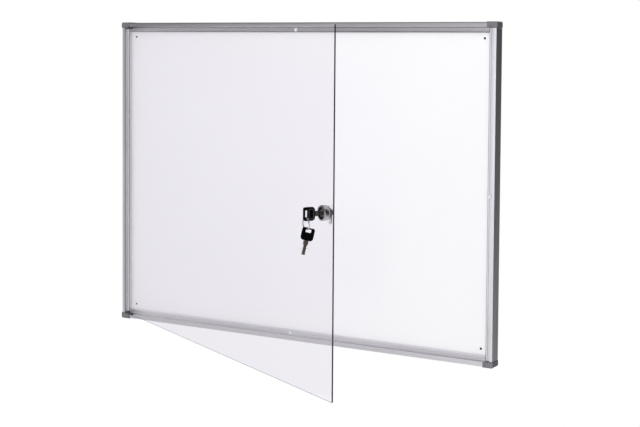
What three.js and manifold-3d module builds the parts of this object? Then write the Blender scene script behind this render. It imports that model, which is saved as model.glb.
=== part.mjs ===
// Lockable notice board: a shallow wall case with a white steel panel and a clear hinged door.
// Lengths are in millimetres. x runs to the right and z up; the wall is the plane y = 0 and
// the front faces -y. The origin is the middle of the back. "Level" is a height above the wall.

import * as THREE from "three";
import { mergeVertices } from "three/addons/utils/BufferGeometryUtils.js";
import Module from "manifold-3d";

const wasm = await Module();
wasm.setup();

// Clearances
const seat = 0.3; // between pieces that rest on each other
const hair = 0.2; // on each side of a thin washer
const overrun = 2; // how far a cutting body reaches past what it cuts

// Counts of facets
const roundSides = 32;
const boreSides = 20;
const arcSteps = 4;

// Rails: aluminium extrusions with a raised lip outside and a lower ledge inside it
const boardWidth = 953;
const boardHeight = 700;
const boardDepth = 27;
const sideLip = 7.6; // lip of the left and right rails
const endLip = 10.2; // lip of the top and bottom rails
const ledgeWidth = 11;
const stepHeight = 6.2; // from the lip down to the ledge
const panelDepth = 16; // from the lip down to the white panel
const railWall = 1.4;
const flangeWidth = 16; // rear flange behind the panel
const flangeThickness = 1.2;
const lipRound = 2.2;
const edgeRound = 0.8;
const edgeChamfer = 0.5;
const lineDepth = 0.3; // decorative lines along the extrusion
const lineWidth = 1.1;
const lineShares = [0.67, 0.33]; // levels of the lines on the outer face, of the depth
const footGroove = 2; // groove on the ledge at the foot of the lip
const footGrooveDepth = 0.7;

const sideRail = sideLip + ledgeWidth;
const ledgeLevel = boardDepth - stepHeight;
const panelLevel = boardDepth - panelDepth;
const footLevel = panelLevel + seat;
const chamberFloor = footLevel + railWall;
const chamberTop = ledgeLevel - railWall;

// Corner caps, corner keys and their screws
const capProud = 0.9; // the caps stand out past the rails
const capHeight = 12; // how far a cap reaches down the side rail
const capWidth = 22; // how far its hood reaches along the top or bottom rail
const capRound = 3.6;
const capEdge = 0.4;
const keyInset = 3; // from the rails' outer faces to the corner key
const keySideArm = 11;
const keyEndArm = 8;
const keyReach = 38; // how far each arm enters its rail
const keyChamfer = 2;
const capScrewAlong = 8.5;
const capScrewDown = 7;
const capScrewRadius = 1.5;
const capScrewHead = 3.2;
const capScrewSink = 0.5;
const capScrewCone = 1.7;
const capScrewTip = 16.4;
const crossWidth = 0.8;
const crossLength = 3.2;
const crossDepth = 1.1;

// Panel: white steel sheet, board core and a pressed rear sheet
const panelInset = 3;
const steelThickness = 0.7;
const rearThickness = 0.6;
const wallHoleInset = 33; // holes for the wall screws, from both outer edges
const wallHoleRadius = 2.5;

// Buffers on the ledges
const bufferRadius = 4;
const bufferDome = 0.4;
const bufferTopShift = 2.5; // stuck on by hand, a little off the middle of each side
const bufferBottomShift = -6.5;
const bufferRightShift = -3;

// Door: clear sheet between two hinge shoes
const openAngle = THREE.MathUtils.degToRad(28.3);
const sheetThickness = 3;
const doorBehindFace = 2.5; // from the lip's face down to the middle of the sheet
const hingeFromLip = 4;
const doorGap = 1.2; // between the free edge and the right lip
const shoeGap = 0.8; // between a shoe and the lip above or below it
const shoeLength = 35.7; // from the hinge axis
const shoeHeight = 3.6;
const shoeWall = 0.9;
const shoeWeb = 1;
const shoeBlock = 18.7; // solid end that holds the pin, from the hinge axis
const pinRadius = 1.5;
const pinInShoe = 2.9;
const pinInCap = 6.2;
const washerRim = 1.1;

// Cam lock
const lockInset = 20; // from the free edge to the lock's axis
const lockRise = 1.7; // above the middle of the door
const lockRadius = 14.2;
const lockLength = 13;
const lockChamfer = 1.1;
const lockFlange = 12.5;
const lockFlangeTop = 2.6;
const lockNeck = 11.4;
const lockNeckTop = 3.2;
const recessRadius = 11.2;
const recessDepth = 5;
const spigotRadius = 8.9;
const spigotWall = 1.4;
const gasketThickness = 0.4;
const nutThickness = 1.5;
const nutCorner = 12.4;
const plugRecess = 2.6;
const plugChamfer = 0.5;
const tailWidth = 7;
const camThickness = 2;
const camLevel = 18.2; // front face of the cam
const camReach = 21.5;
const camWidth = 9;
const camHub = 8;
const camScrewRadius = 1.6;
const camScrewHead = 4.2;
const camScrewHeadHeight = 2;
const camScrewLength = 4.8; // of the thread in the plug
const camHoleDepth = 7;
const strikeAbove = 7; // slot in the right rail that takes the cam, from the lock's axis
const strikeBelow = 23;
const strikeLow = 15.2;
const strikeHigh = 19;

// Wafers in the plug
const waferCount = 4;
const waferThickness = 0.9;
const waferWidth = 7;
const waferHeight = 10.6;
const waferPitch = 2.2;
const waferFirst = 2; // from the plug's face to the first wafer

// Keys
const keyLength = 48.6;
const headLength = 23;
const headWidth = 24.6;
const headThickness = 4.6;
const headRound = 3.2;
const headChamfer = 3.8;
const headEdge = 0.5;
const slotStart = 2.8;
const slotWidth = 5.6;
const slotLength = 13.5;
const slotRound = 0.6;
const frameStart = 9.6;
const frameLength = 10.8;
const frameWidth = 18.6;
const frameBar = 1.4;
const frameRise = 0.4;
const bladeThickness = 2;
const bladeWidth = 7.6;
const neckWidth = 9.6;
const tangWidth = 5;
const tangStart = 12;
const keyInserted = 12.4; // of the blade, from the lock's face to its tip
const grooveWidth = 1.5;
const grooveDepth = 0.5;
const keywayEnd = 0.4; // past the tip of the blade

// Bitting of the blade: place along it and half width, as shares
const bittingShares = [
  [0.27, 1.26],
  [0.31, 0.92],
  [0.36, 0.92],
  [0.41, 0.62],
  [0.47, 0.62],
  [0.53, 0.98],
  [0.58, 0.98],
  [0.64, 0.62],
  [0.69, 0.62],
  [0.75, 0.94],
  [0.79, 0.94],
  [0.84, 0.66],
  [0.88, 0.66],
  [0.93, 0.96],
  [0.97, 0.96],
  [1, 0.5],
];

// Split ring that joins the keys
const ringRadius = 11;
const ringWire = 0.6;
const ringPitch = 1.7;
const ringTurns = 2;
const ringSteps = 24;
const ringSides = 6;
const spareTilt = THREE.MathUtils.degToRad(14.8); // at which the spare key hangs in balance

// Colours and finishes
function finish(color, roughness, metalness, opacity = 1) {
  return new THREE.MeshStandardMaterial({
    color,
    roughness,
    metalness,
    opacity,
    transparent: opacity < 1,
  });
}
const anodised = () => finish(0xc4c3ca, 0.38, 0.9);
const capPlastic = () => finish(0x77757c, 0.55, 0);
const whiteLacquer = () => finish(0xf4f3f8, 0.22, 0);
const boardCore = () => finish(0xa9977c, 0.9, 0);
const galvanised = () => finish(0xb4b6b8, 0.5, 0.8);
const clearAcrylic = () => finish(0xf1eff6, 0.06, 0, 0.25);
const whiteRubber = () => finish(0xeeeeee, 0.7, 0);
const darkPlastic = () => finish(0x3c393f, 0.5, 0);
const zincPlate = () => finish(0xc9c9cc, 0.35, 0.9);
const satinChrome = () => finish(0xb9b8bc, 0.28, 1);
const blackRubber = () => finish(0x1c1b1d, 0.8, 0);
const blackPlastic = () => finish(0x141316, 0.4, 0);
const darkNickel = () => finish(0x6a5a52, 0.35, 0.9);
const springSteel = () => finish(0xd2d0d2, 0.25, 1);
const brass = () => finish(0xb89a58, 0.4, 0.9);

// Solids
function solid(geometry) {
  const bare = geometry.clone();
  bare.deleteAttribute("normal");
  bare.deleteAttribute("uv");
  const merged = mergeVertices(bare);
  const mesh = new wasm.Mesh({
    numProp: 3,
    vertProperties: merged.attributes.position.array,
    triVerts: new Uint32Array(merged.index.array),
  });
  return new wasm.Manifold(mesh);
}

function surface(body) {
  const mesh = body.getMesh();
  const geometry = new THREE.BufferGeometry();
  geometry.setAttribute("position", new THREE.BufferAttribute(mesh.vertProperties, mesh.numProp));
  geometry.setIndex(new THREE.BufferAttribute(mesh.triVerts, 1));
  geometry.computeVertexNormals();
  return geometry;
}

// A cuboid between two corners, in any order
function block(x, y, z) {
  const size = [x, y, z].map(([low, high]) => Math.abs(high - low));
  const middle = [x, y, z].map(([low, high]) => (low + high) / 2);
  return solid(new THREE.BoxGeometry(...size).translate(...middle));
}

// An outline drawn in x and z, filled between two levels above the wall, with an optional soft edge
function plate(shape, low, high, edge = 0) {
  const geometry = new THREE.ExtrudeGeometry(shape, {
    depth: high - low - 2 * edge,
    bevelEnabled: edge > 0,
    bevelThickness: edge,
    bevelSize: edge,
    bevelOffset: -edge,
    bevelSegments: 1,
    curveSegments: arcSteps,
  });
  return solid(geometry.translate(0, 0, low + edge).rotateX(Math.PI / 2));
}

// A body turned about the y axis: points are [radius, distance towards -y], clockwise
function turned(points, sides = roundSides) {
  const profile = points.map(([radius, out]) => new THREE.Vector2(radius, -out));
  return solid(new THREE.LatheGeometry([...profile, profile[0]], sides));
}

// A round bar along y between two distances towards -y
function bar(radius, low, high, sides = boreSides) {
  const geometry = new THREE.CylinderGeometry(radius, radius, Math.abs(high - low), sides);
  return solid(geometry.translate(0, -(low + high) / 2, 0));
}

// A round bar along z
function post(radius, x, y, low, high) {
  const geometry = new THREE.CylinderGeometry(radius, radius, Math.abs(high - low), boreSides);
  return solid(geometry.rotateX(Math.PI / 2).translate(x, y, (low + high) / 2));
}

function outline(points) {
  return new THREE.Shape(points.map(([x, z]) => new THREE.Vector2(x, z)));
}

// A rectangle with round corners, as a shape or a hole
function roundRect(path, low, high, radius) {
  const [x0, z0] = low;
  const [x1, z1] = high;
  path.moveTo(x0 + radius, z0);
  path.lineTo(x1 - radius, z0);
  path.absarc(x1 - radius, z0 + radius, radius, -Math.PI / 2, 0, false);
  path.lineTo(x1, z1 - radius);
  path.absarc(x1 - radius, z1 - radius, radius, 0, Math.PI / 2, false);
  path.lineTo(x0 + radius, z1);
  path.absarc(x0 + radius, z1 - radius, radius, Math.PI / 2, Math.PI, false);
  path.lineTo(x0, z0 + radius);
  path.absarc(x0 + radius, z0 + radius, radius, Math.PI, 1.5 * Math.PI, false);
  return path;
}

function piece(parent, name, body, material) {
  const mesh = new THREE.Mesh(body.isBufferGeometry ? body : surface(body), material);
  mesh.name = name;
  parent.add(mesh);
  return mesh;
}

const board = new THREE.Group();

// Rail section: x is the distance in from the outer face, y the level above the wall
function railShape(lip) {
  const width = lip + ledgeWidth;
  const ledgeMiddle = lip + (ledgeWidth + footGroove) / 2;
  const shape = new THREE.Shape();
  shape.moveTo(edgeChamfer, 0);
  shape.lineTo(flangeWidth, 0);
  shape.lineTo(flangeWidth, flangeThickness);
  shape.lineTo(railWall, flangeThickness);
  shape.lineTo(railWall, footLevel);
  shape.lineTo(width, footLevel);
  shape.lineTo(width, ledgeLevel - edgeRound);
  shape.absarc(width - edgeRound, ledgeLevel - edgeRound, edgeRound, 0, Math.PI / 2, false);
  shape.lineTo(ledgeMiddle + lineWidth / 2, ledgeLevel);
  shape.lineTo(ledgeMiddle, ledgeLevel - lineDepth);
  shape.lineTo(ledgeMiddle - lineWidth / 2, ledgeLevel);
  shape.lineTo(lip + footGroove, ledgeLevel);
  shape.lineTo(lip + footGroove, ledgeLevel - footGrooveDepth);
  shape.lineTo(lip, ledgeLevel - footGrooveDepth);
  shape.lineTo(lip, boardDepth - edgeRound);
  shape.absarc(lip - edgeRound, boardDepth - edgeRound, edgeRound, 0, Math.PI / 2, false);
  shape.lineTo(lipRound, boardDepth);
  shape.absarc(lipRound, boardDepth - lipRound, lipRound, Math.PI / 2, Math.PI, false);
  for (const level of lineShares.map((share) => share * boardDepth)) {
    shape.lineTo(0, level + lineWidth / 2);
    shape.lineTo(lineDepth, level);
    shape.lineTo(0, level - lineWidth / 2);
  }
  shape.lineTo(0, edgeChamfer);
  shape.holes.push(
    outline([
      [railWall, chamberFloor],
      [width - railWall, chamberFloor],
      [width - railWall, chamberTop],
      [railWall, chamberTop],
    ]),
    outline([
      [railWall, ledgeLevel],
      [lip - railWall, ledgeLevel],
      [lip - railWall, boardDepth - railWall],
      [railWall, boardDepth - railWall],
    ]),
  );
  return shape;
}

// A rail centred on its length, its outer face at x = 0 and its inside towards +x
function rail(lip, length) {
  const geometry = new THREE.ExtrudeGeometry(railShape(lip), {
    depth: length,
    bevelEnabled: false,
    curveSegments: arcSteps,
  });
  return solid(geometry.translate(0, 0, -length / 2).rotateX(Math.PI));
}

function addRails() {
  const sideLength = boardHeight - 2 * (capHeight + seat);
  const endLength = boardWidth - 2 * (sideRail + seat);
  const strike = block(
    [sideRail - railWall - overrun / 2, sideRail + overrun],
    [-strikeLow, -strikeHigh],
    [lockRise - strikeBelow, lockRise + strikeAbove],
  );
  const left = piece(board, "left_rail", rail(sideLip, sideLength), anodised());
  left.position.x = -boardWidth / 2;
  const right = piece(board, "right_rail", rail(sideLip, sideLength).subtract(strike), anodised());
  right.position.x = boardWidth / 2;
  right.scale.x = -1;
  for (const [name, sign] of [
    ["top_rail", 1],
    ["bottom_rail", -1],
  ]) {
    const mesh = piece(board, name, rail(endLip, endLength), anodised());
    mesh.position.z = (sign * boardHeight) / 2;
    mesh.rotation.y = (sign * Math.PI) / 2;
  }
}

// Corner parts are drawn for the top right corner: x and z run from the corner, negative inwards
function cornerKeyShape(grow, sideEnd, endEnd, chamfer) {
  const inner = -keyInset + grow;
  const sideFar = -keyInset - keySideArm - grow;
  const endFar = -keyInset - keyEndArm - grow;
  return outline([
    [inner, inner],
    [inner, sideEnd + chamfer],
    [inner - chamfer, sideEnd],
    [sideFar + chamfer, sideEnd],
    [sideFar, sideEnd + chamfer],
    [sideFar, endFar],
    [endEnd + chamfer, endFar],
    [endEnd, endFar + chamfer],
    [endEnd, inner - chamfer],
    [endEnd + chamfer, inner],
  ]);
}

function cornerKey() {
  const shape = cornerKeyShape(0, -capHeight - keyReach, -sideRail - keyReach, keyChamfer);
  const hole = bar(capScrewRadius + seat, chamberFloor, capScrewTip + seat);
  return plate(shape, chamberFloor + seat, chamberTop - seat).subtract(
    hole.translate([-capScrewAlong, 0, -capScrewDown]),
  );
}

function cornerCap(hinged) {
  const shape = new THREE.Shape();
  shape.moveTo(-capWidth, -capHeight);
  shape.lineTo(capProud, -capHeight);
  shape.lineTo(capProud, capProud - capRound);
  shape.absarc(capProud - capRound, capProud - capRound, capRound, 0, Math.PI / 2, false);
  shape.lineTo(-capWidth, capProud);
  const hoodRoom = block(
    [-capWidth - overrun, -sideRail],
    [overrun, -boardDepth - seat],
    [-capHeight - overrun, seat],
  );
  const ledgeRoom = block(
    [-capWidth - overrun, -sideLip],
    [-ledgeLevel, -boardDepth - capProud - overrun],
    [-capHeight - overrun, -endLip],
  );
  const keyRoom = cornerKeyShape(seat, -capHeight - overrun, -capWidth - overrun, 0);
  const screwHole = bar(capScrewRadius + seat, -overrun, chamberTop).add(
    turned([
      [0, -overrun],
      [0, capScrewSink + seat + capScrewCone],
      [capScrewRadius + seat, capScrewSink + seat + capScrewCone],
      [capScrewHead + seat, capScrewSink + seat],
      [capScrewHead + seat, -overrun],
    ]),
  );
  let cap = plate(shape, 0, boardDepth + capProud, capEdge)
    .subtract(hoodRoom)
    .subtract(ledgeRoom)
    .subtract(plate(keyRoom, chamberFloor, chamberTop))
    .subtract(screwHole.translate([-capScrewAlong, 0, -capScrewDown]));
  if (hinged) {
    const bore = post(
      pinRadius + seat,
      -sideLip - hingeFromLip,
      -(boardDepth - doorBehindFace),
      -endLip + pinInCap + seat,
      -endLip - overrun,
    );
    cap = cap.subtract(bore);
  }
  return cap;
}

function capScrew() {
  const cone = capScrewSink + capScrewCone;
  const body = turned([
    [0, capScrewSink],
    [0, capScrewTip],
    [capScrewRadius, capScrewTip - capScrewRadius],
    [capScrewRadius, cone],
    [capScrewHead, capScrewSink],
  ]);
  const arm = [capScrewSink - overrun, capScrewSink + crossDepth].map((level) => -level);
  const across = [-crossWidth / 2, crossWidth / 2];
  const along = [-crossLength / 2, crossLength / 2];
  const cross = block(along, arm, across).add(block(across, arm, along));
  return body.subtract(cross).translate([-capScrewAlong, 0, -capScrewDown]);
}

function addCorners() {
  for (const [side, x] of [
    ["left", -1],
    ["right", 1],
  ]) {
    for (const [end, z] of [
      ["top", 1],
      ["bottom", -1],
    ]) {
      const corner = new THREE.Group();
      corner.position.set((x * boardWidth) / 2, 0, (z * boardHeight) / 2);
      corner.scale.set(x, 1, z);
      board.add(corner);
      piece(corner, `corner_cap_${end}_${side}`, cornerCap(x < 0), capPlastic());
      piece(corner, `corner_key_${end}_${side}`, cornerKey(), galvanised());
      piece(corner, `cap_screw_${end}_${side}`, capScrew(), zincPlate());
    }
  }
}

// The panel's layers share one outline, notched for the corner caps
function panelShape() {
  const x = boardWidth / 2;
  const z = boardHeight / 2;
  const notchX = x - sideRail - 2 * seat;
  const notchZ = z - capHeight - 2 * seat;
  const farX = x - panelInset;
  const farZ = z - panelInset;
  const quarter = [
    [farX, notchZ],
    [notchX, notchZ],
    [notchX, farZ],
  ];
  const mirrored = (sx, sz) => quarter.map(([a, b]) => [sx * a, sz * b]);
  return outline([
    ...mirrored(1, 1),
    ...mirrored(-1, 1).reverse(),
    ...mirrored(-1, -1),
    ...mirrored(1, -1).reverse(),
  ]);
}

function innerBlock(inset, low, high) {
  const x = boardWidth / 2 - inset;
  const z = boardHeight / 2 - inset;
  return block([-x, x], [-low, -high], [-z, z]);
}

function wallHoles(body) {
  for (const x of [-1, 1]) {
    for (const z of [-1, 1]) {
      const hole = bar(wallHoleRadius, -overrun, panelLevel + overrun);
      const place = [x * (boardWidth / 2 - wallHoleInset), 0, z * (boardHeight / 2 - wallHoleInset)];
      body = body.subtract(hole.translate(place));
    }
  }
  return body;
}

function addPanel() {
  const rimLow = flangeThickness + seat;
  const rimHigh = rimLow + rearThickness;
  const trayInset = flangeWidth + seat;
  const tray = plate(panelShape(), rimLow, rimHigh)
    .add(innerBlock(trayInset, 0, rimHigh))
    .subtract(innerBlock(trayInset + rearThickness, rearThickness, rimHigh + overrun));
  const coreHigh = panelLevel - steelThickness - seat;
  const core = plate(panelShape(), rimHigh + seat, coreHigh).add(
    innerBlock(trayInset + rearThickness + seat, rearThickness + seat, coreHigh),
  );
  const steel = plate(panelShape(), panelLevel - steelThickness, panelLevel);
  piece(board, "rear_sheet", wallHoles(tray), galvanised());
  piece(board, "core_board", wallHoles(core), boardCore());
  piece(board, "whiteboard_sheet", wallHoles(steel), whiteLacquer());
}

function addBuffers() {
  const low = ledgeLevel + seat;
  const high = boardDepth - doorBehindFace - sheetThickness / 2 - seat;
  const pad = turned([
    [0, low],
    [0, high],
    [bufferRadius - bufferDome, high],
    [bufferRadius, high - bufferDome],
    [bufferRadius, low],
  ]);
  const flat = ledgeWidth - footGroove - edgeRound;
  const sideX = boardWidth / 2 - sideLip - footGroove - flat / 2;
  const endZ = boardHeight / 2 - endLip - footGroove - flat / 2;
  for (const [name, x, z] of [
    ["buffer_top", bufferTopShift, endZ],
    ["buffer_bottom", bufferBottomShift, -endZ],
    ["buffer_right", sideX, bufferRightShift],
  ]) {
    piece(board, name, pad, whiteRubber()).position.set(x, 0, z);
  }
}

// Door: x runs from the hinge axis to the free edge and the sheet's middle is y = 0
const hingeX = -boardWidth / 2 + sideLip + hingeFromLip;
const doorLevel = boardDepth - doorBehindFace;
const doorReach = boardWidth / 2 - sideLip - doorGap - hingeX;
const shoeTop = boardHeight / 2 - endLip - shoeGap;
const shoeFoot = shoeTop - shoeHeight;
const sheetTop = shoeTop - shoeWeb - seat;
const door = new THREE.Group();
door.position.set(hingeX, -doorLevel, 0);
door.rotation.z = -openAngle;
board.add(door);

const front = sheetThickness / 2; // distance of the sheet's front face towards -y
const lockX = doorReach - lockInset;

function doorSheet() {
  const start = shoeBlock + seat;
  const corners = [
    [doorReach, -sheetTop],
    [doorReach, sheetTop],
    [start, sheetTop],
    [start, -sheetTop],
  ];
  const lockHole = bar(spigotRadius + seat, -sheetThickness, sheetThickness, roundSides);
  return plate(outline(corners), -front, front).subtract(lockHole.translate([lockX, 0, lockRise]));
}

// The shoe at the door's top corner; the bottom one is its mirror image
function hingeShoe() {
  const half = front + seat + shoeWall;
  const shape = new THREE.Shape();
  shape.moveTo(shoeLength, -half);
  shape.lineTo(shoeLength, half);
  shape.lineTo(0, half);
  shape.absarc(0, 0, half, Math.PI / 2, 1.5 * Math.PI, false);
  const geometry = new THREE.ExtrudeGeometry(shape, {
    depth: shoeHeight,
    bevelEnabled: false,
    curveSegments: 2 * arcSteps,
  });
  const slot = block(
    [shoeBlock, shoeLength + overrun],
    [-front - seat, front + seat],
    [shoeFoot - overrun, shoeTop - shoeWeb],
  );
  const bore = post(pinRadius + seat, 0, 0, shoeTop - pinInShoe - seat, shoeTop + overrun);
  return solid(geometry.translate(0, 0, shoeFoot)).subtract(slot).subtract(bore);
}

function hingeWasher() {
  const low = shoeTop + hair;
  const high = shoeTop + shoeGap - hair;
  const body = post(pinRadius + seat + washerRim, 0, 0, low, high);
  return body.subtract(post(pinRadius + seat, 0, 0, low - overrun, high + overrun));
}

function addDoor() {
  piece(door, "door_sheet", doorSheet(), clearAcrylic());
  const pin = post(pinRadius, 0, 0, shoeTop - pinInShoe, shoeTop + shoeGap + pinInCap);
  for (const [end, z] of [
    ["top", 1],
    ["bottom", -1],
  ]) {
    for (const [name, body, material] of [
      [`hinge_shoe_${end}`, hingeShoe(), darkPlastic()],
      [`hinge_pin_${end}`, pin, zincPlate()],
      [`hinge_washer_${end}`, hingeWasher(), whiteRubber()],
    ]) {
      piece(door, name, body, material).scale.z = z;
    }
  }
}

// Lock: turned parts about its axis; "out" is the distance from the sheet's middle towards -y
const boreRadius = spigotRadius - spigotWall;
const plugRadius = boreRadius - seat;
const lockFace = front + lockLength;
const plugFace = lockFace - plugRecess;
const camFront = -(doorLevel - camLevel);
const camBack = camFront - camThickness;
const plugBack = camFront + seat;
const lock = new THREE.Group();
lock.position.set(lockX, 0, lockRise);
door.add(lock);

function lockBody() {
  const spigotEnd = -front - seat - nutThickness - hair;
  const flangeLow = front + seat + gasketThickness + seat;
  return turned([
    [boreRadius, spigotEnd],
    [boreRadius, lockFace - recessDepth],
    [recessRadius, lockFace - recessDepth],
    [recessRadius, lockFace],
    [lockRadius - lockChamfer, lockFace],
    [lockRadius, lockFace - lockChamfer],
    [lockRadius, front + lockNeckTop],
    [lockNeck, front + lockNeckTop],
    [lockNeck, front + lockFlangeTop],
    [lockFlange, front + lockFlangeTop],
    [lockFlange, flangeLow],
    [spigotRadius, flangeLow],
    [spigotRadius, spigotEnd],
  ]);
}

function lockGasket() {
  const low = front + seat;
  return turned([
    [spigotRadius + seat, low],
    [spigotRadius + seat, low + gasketThickness],
    [lockFlange, low + gasketThickness],
    [lockFlange, low],
  ]);
}

function lockNut() {
  const high = -front - seat;
  const hexagon = bar(nutCorner, high - nutThickness, high, 6);
  const thread = bar(spigotRadius + seat, high - nutThickness - overrun, high + overrun, roundSides);
  return hexagon.subtract(thread);
}

const tipOut = lockFace - keyInserted; // tip of the key in the lock
const headFar = tipOut + keyLength;

function lockPlug() {
  const tail = tailWidth / 2;
  const body = turned([
    [0, plugBack],
    [0, plugFace],
    [plugRadius - plugChamfer, plugFace],
    [plugRadius, plugFace - plugChamfer],
    [plugRadius, plugBack],
  ]);
  const stem = block([-tail, tail], [-plugBack - overrun, -camBack - hair], [-tail, tail]);
  const half = bladeThickness / 2 + seat;
  const keyway = block(
    [-half, half],
    [-(tipOut - keywayEnd), -(plugFace + overrun)],
    [-bladeWidth / 2 - seat, bladeWidth / 2 + seat],
  );
  const screwHole = bar(camScrewRadius + seat, camBack - overrun, camBack + camHoleDepth);
  let plug = body.add(stem).subtract(keyway).subtract(screwHole);
  for (let i = 0; i < waferCount; i += 1) {
    plug = plug.subtract(waferBlock(i, seat));
  }
  return plug;
}

function waferBlock(index, grow) {
  const top = plugFace - waferFirst - index * waferPitch + grow;
  const x = waferWidth / 2 + grow;
  const z = waferHeight / 2 + grow;
  return block([-x, x], [-top, -(top - waferThickness - 2 * grow)], [-z, z]);
}

function wafer(index) {
  const x = bladeThickness / 2 + seat;
  const z = bladeWidth / 2 + seat;
  return waferBlock(index, 0).subtract(block([-x, x], [-lockFace, lockFace], [-z, z]));
}

function lockCam() {
  const shape = new THREE.Shape();
  const tip = camReach - camWidth / 2;
  const join = Math.acos(camWidth / 2 / camHub);
  shape.moveTo(camWidth / 2, -tip);
  shape.absarc(0, 0, camHub, -join, Math.PI + join, false);
  shape.lineTo(-camWidth / 2, -tip);
  shape.absarc(0, -tip, camWidth / 2, Math.PI, 2 * Math.PI, false);
  const half = tailWidth / 2 + seat;
  const square = block([-half, half], [-camFront - overrun, -camBack + overrun], [-half, half]);
  return plate(shape, camBack, camFront).subtract(square);
}

function camScrew() {
  const top = camBack - hair - seat;
  return turned([
    [0, top - camScrewHeadHeight],
    [0, camBack + camScrewLength],
    [camScrewRadius, camBack + camScrewLength],
    [camScrewRadius, top],
    [camScrewHead, top],
    [camScrewHead, top - camScrewHeadHeight],
  ]);
}

function addLock() {
  piece(lock, "lock_body", lockBody(), satinChrome());
  piece(lock, "lock_gasket", lockGasket(), blackRubber());
  piece(lock, "lock_nut", lockNut(), zincPlate());
  piece(lock, "lock_plug", lockPlug(), satinChrome());
  piece(lock, "lock_cam", lockCam(), zincPlate());
  piece(lock, "cam_screw", camScrew(), zincPlate());
  for (let i = 0; i < waferCount; i += 1) {
    piece(lock, `wafer_${i + 1}`, wafer(i), brass());
  }
}

// Keys: x is the thickness, z the width and y the distance from the head's far end to the tip
function keyPlate(shape, half) {
  const geometry = new THREE.ExtrudeGeometry(shape, {
    depth: 2 * half,
    bevelEnabled: false,
    curveSegments: arcSteps,
  });
  return placeKeySheet(geometry, half);
}

// Turns an outline drawn as (distance from the far end, width) into the key's plane
function placeKeySheet(geometry, half) {
  const axes = new THREE.Matrix4().makeBasis(
    new THREE.Vector3(0, 1, 0),
    new THREE.Vector3(0, 0, 1),
    new THREE.Vector3(1, 0, 0),
  );
  return solid(geometry.translate(0, 0, -half).applyMatrix4(axes));
}

function keyBlade() {
  const bladeLength = keyLength - headLength;
  const edge = bittingShares.map(([along, wide]) => [
    headLength + along * bladeLength,
    (wide * bladeWidth) / 2,
  ]);
  const upper = [
    [tangStart, tangWidth / 2],
    [headLength + seat, tangWidth / 2],
    [headLength + seat, neckWidth / 2],
    ...edge,
  ];
  const lower = upper.map(([along, wide]) => [along, -wide]).reverse();
  const half = bladeThickness / 2;
  let blade = keyPlate(outline([...upper, ...lower]), half);
  for (const side of [-1, 1]) {
    const depth = [side * (half - grooveDepth), side * (half + overrun)];
    const wide = [-grooveWidth / 2, grooveWidth / 2];
    blade = blade.subtract(block(depth, [headLength + neckWidth / 2, keyLength + overrun], wide));
  }
  return blade;
}

function keyHead() {
  const z = headWidth / 2;
  const shape = new THREE.Shape();
  shape.moveTo(headRound, -z);
  shape.lineTo(headLength - headChamfer, -z);
  shape.lineTo(headLength, -z + headChamfer);
  shape.lineTo(headLength, z - headChamfer);
  shape.lineTo(headLength - headChamfer, z);
  shape.lineTo(headRound, z);
  shape.absarc(headRound, z - headRound, headRound, Math.PI / 2, Math.PI, false);
  shape.lineTo(0, -z + headRound);
  shape.absarc(headRound, -z + headRound, headRound, Math.PI, 1.5 * Math.PI, false);
  const half = headThickness / 2;
  const geometry = new THREE.ExtrudeGeometry(shape, {
    depth: headThickness - 2 * headEdge,
    bevelEnabled: true,
    bevelThickness: headEdge,
    bevelSize: headEdge,
    bevelOffset: -headEdge,
    bevelSegments: 1,
    curveSegments: arcSteps,
  });
  const slot = roundRect(
    new THREE.Shape(),
    [slotStart, -slotLength / 2],
    [slotStart + slotWidth, slotLength / 2],
    slotRound,
  );
  const frame = roundRect(
    new THREE.Shape(),
    [frameStart, -frameWidth / 2],
    [frameStart + frameLength, frameWidth / 2],
    headRound / 2,
  );
  frame.holes.push(
    roundRect(
      new THREE.Path(),
      [frameStart + frameBar, -frameWidth / 2 + frameBar],
      [frameStart + frameLength - frameBar, frameWidth / 2 - frameBar],
      slotRound,
    ),
  );
  const pocket = block(
    [-bladeThickness / 2 - seat, bladeThickness / 2 + seat],
    [tangStart - seat, headLength + overrun],
    [-tangWidth / 2 - seat, tangWidth / 2 + seat],
  );
  return placeKeySheet(geometry.translate(0, 0, headEdge), half)
    .add(keyPlate(frame, half + frameRise))
    .subtract(keyPlate(slot, half + overrun))
    .subtract(pocket);
}

// A key's own frame stands at its far end, the blade pointing to +y
function addKey(parent, prefix) {
  piece(parent, `${prefix}_head`, keyHead(), blackPlastic());
  piece(parent, `${prefix}_blade`, keyBlade(), darkNickel());
}

// Split ring: one wire wound about y, its middle at the origin
function ringPoint(turn) {
  const angle = 2 * Math.PI * turn;
  return new THREE.Vector3(
    ringRadius * Math.cos(angle),
    ringPitch * (turn - ringTurns / 2),
    ringRadius * Math.sin(angle),
  );
}

function keyRing() {
  const count = ringSteps * ringTurns;
  const position = [];
  const index = [];
  for (let i = 0; i <= count; i += 1) {
    const centre = ringPoint(i / ringSteps);
    const outward = new THREE.Vector3(centre.x, 0, centre.z).normalize();
    for (let j = 0; j < ringSides; j += 1) {
      const angle = (2 * Math.PI * j) / ringSides;
      const offset = outward.clone().multiplyScalar(ringWire * Math.cos(angle));
      offset.y = ringWire * Math.sin(angle);
      position.push(...centre.clone().add(offset).toArray());
    }
  }
  for (let i = 0; i < count; i += 1) {
    for (let j = 0; j < ringSides; j += 1) {
      const a = i * ringSides + j;
      const b = i * ringSides + ((j + 1) % ringSides);
      index.push(a, b, a + ringSides, b, b + ringSides, a + ringSides);
    }
  }
  for (let j = 1; j < ringSides - 1; j += 1) {
    const last = count * ringSides;
    index.push(0, j + 1, j, last, last + j, last + j + 1);
  }
  const geometry = new THREE.BufferGeometry();
  geometry.setAttribute("position", new THREE.Float32BufferAttribute(position, 3));
  geometry.setIndex(index);
  geometry.computeVertexNormals();
  return geometry;
}

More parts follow.
